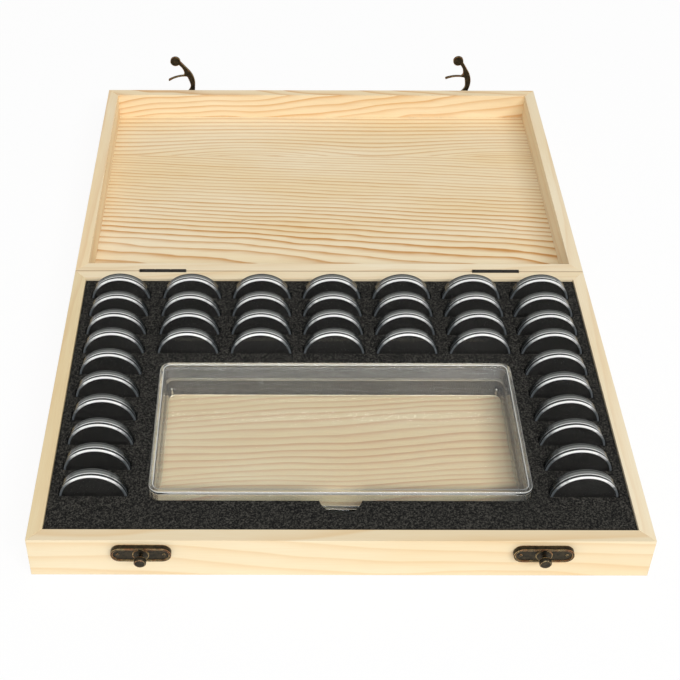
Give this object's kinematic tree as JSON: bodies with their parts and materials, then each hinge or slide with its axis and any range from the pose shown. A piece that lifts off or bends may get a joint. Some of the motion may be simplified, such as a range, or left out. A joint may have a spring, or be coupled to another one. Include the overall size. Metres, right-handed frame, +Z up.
{
  "type": "coin storage box",
  "caption": "Shallow wooden box, open flat, with a foam insert for upright round coin capsules, a clear case for notes and two hook catches.",
  "frame": {"origin": "centre of the tray's underside", "axes": "+X to the right, +Y to the back, where the open lid lies, +Z up"},
  "size_m": [0.29, 0.403, 0.0495],
  "materials": {
    "pine": "sanded bare pine",
    "foam": "matt fine-celled charcoal foam",
    "bronze": "antique bronze, rubbed at the edges",
    "clear_plastic": "clear polystyrene"
  },
  "bodies": {
    "tray": {"tray_front_wall": "pine", "tray_right_wall": "pine", "tray_back_wall": "pine", "tray_left_wall": "pine", "tray_panel": "pine", "foam_insert": "foam", "catch_plate_left": "bronze", "catch_plate_right": "bronze", "catch_knob_left": "bronze", "catch_knob_right": "bronze", "tray_hinge_leaf_left": "bronze", "tray_hinge_leaf_right": "bronze"},
    "lid": {"lid_front_wall": "pine", "lid_right_wall": "pine", "lid_back_wall": "pine", "lid_left_wall": "pine", "lid_panel": "pine", "hook_plate_left": "bronze", "hook_plate_right": "bronze", "hook_rivet_left": "bronze", "hook_rivet_right": "bronze", "lid_hinge_leaf_left": "bronze", "lid_hinge_leaf_right": "bronze"},
    "hook_left": {"hook_left": "bronze"},
    "hook_right": {"hook_right": "bronze"},
    "note_case": {"note_case_tray": "clear_plastic"},
    "note_case_cover": {"note_case_cover": "clear_plastic"},
    "capsules_row_1": {"capsules_row_1": "clear_plastic"},
    "capsules_row_2": {"capsules_row_2": "clear_plastic"},
    "capsules_row_3": {"capsules_row_3": "clear_plastic"},
    "capsules_row_4": {"capsules_row_4": "clear_plastic"},
    "capsules_row_5": {"capsules_row_5": "clear_plastic"},
    "capsules_row_6": {"capsules_row_6": "clear_plastic"},
    "capsules_row_7": {"capsules_row_7": "clear_plastic"},
    "capsules_row_8": {"capsules_row_8": "clear_plastic"},
    "capsules_row_9": {"capsules_row_9": "clear_plastic"},
    "capsules_row_10": {"capsules_row_10": "clear_plastic"}
  },
  "joints": [
    {"name": "lid_hinge", "type": "hinge", "parent": "tray", "child": "lid", "pos_m": [0, 0.0976, 0.0251], "axis": [-1, 0, 0], "range_deg": [-180, 0]},
    {"name": "hook_left_turn", "type": "hinge", "parent": "lid", "child": "hook_left", "pos_m": [-0.0922, 0.2927, 0.0176], "axis": [0, 1, 0], "range_deg": [0, 100]},
    {"name": "hook_right_turn", "type": "hinge", "parent": "lid", "child": "hook_right", "pos_m": [0.0938, 0.2927, 0.0176], "axis": [0, 1, 0], "range_deg": [-10.5, 89.5]},
    {"name": "note_case_lift", "type": "slide", "parent": "tray", "child": "note_case", "axis": [0, 0, 1], "range_m": [0, 0.045]},
    {"name": "note_case_cover_lift", "type": "slide", "parent": "note_case", "child": "note_case_cover", "axis": [0, 0, 1], "range_m": [0, 0.03]},
    {"name": "capsules_row_1_lift", "type": "slide", "parent": "tray", "child": "capsules_row_1", "axis": [0, 0, 1], "range_m": [0, 0.04]},
    {"name": "capsules_row_2_lift", "type": "slide", "parent": "tray", "child": "capsules_row_2", "axis": [0, 0, 1], "range_m": [0, 0.04]},
    {"name": "capsules_row_3_lift", "type": "slide", "parent": "tray", "child": "capsules_row_3", "axis": [0, 0, 1], "range_m": [0, 0.04]},
    {"name": "capsules_row_4_lift", "type": "slide", "parent": "tray", "child": "capsules_row_4", "axis": [0, 0, 1], "range_m": [0, 0.04]},
    {"name": "capsules_row_5_lift", "type": "slide", "parent": "tray", "child": "capsules_row_5", "axis": [0, 0, 1], "range_m": [0, 0.04]},
    {"name": "capsules_row_6_lift", "type": "slide", "parent": "tray", "child": "capsules_row_6", "axis": [0, 0, 1], "range_m": [0, 0.04]},
    {"name": "capsules_row_7_lift", "type": "slide", "parent": "tray", "child": "capsules_row_7", "axis": [0, 0, 1], "range_m": [0, 0.04]},
    {"name": "capsules_row_8_lift", "type": "slide", "parent": "tray", "child": "capsules_row_8", "axis": [0, 0, 1], "range_m": [0, 0.04]},
    {"name": "capsules_row_9_lift", "type": "slide", "parent": "tray", "child": "capsules_row_9", "axis": [0, 0, 1], "range_m": [0, 0.04]},
    {"name": "capsules_row_10_lift", "type": "slide", "parent": "tray", "child": "capsules_row_10", "axis": [0, 0, 1], "range_m": [0, 0.04]}
  ]
}
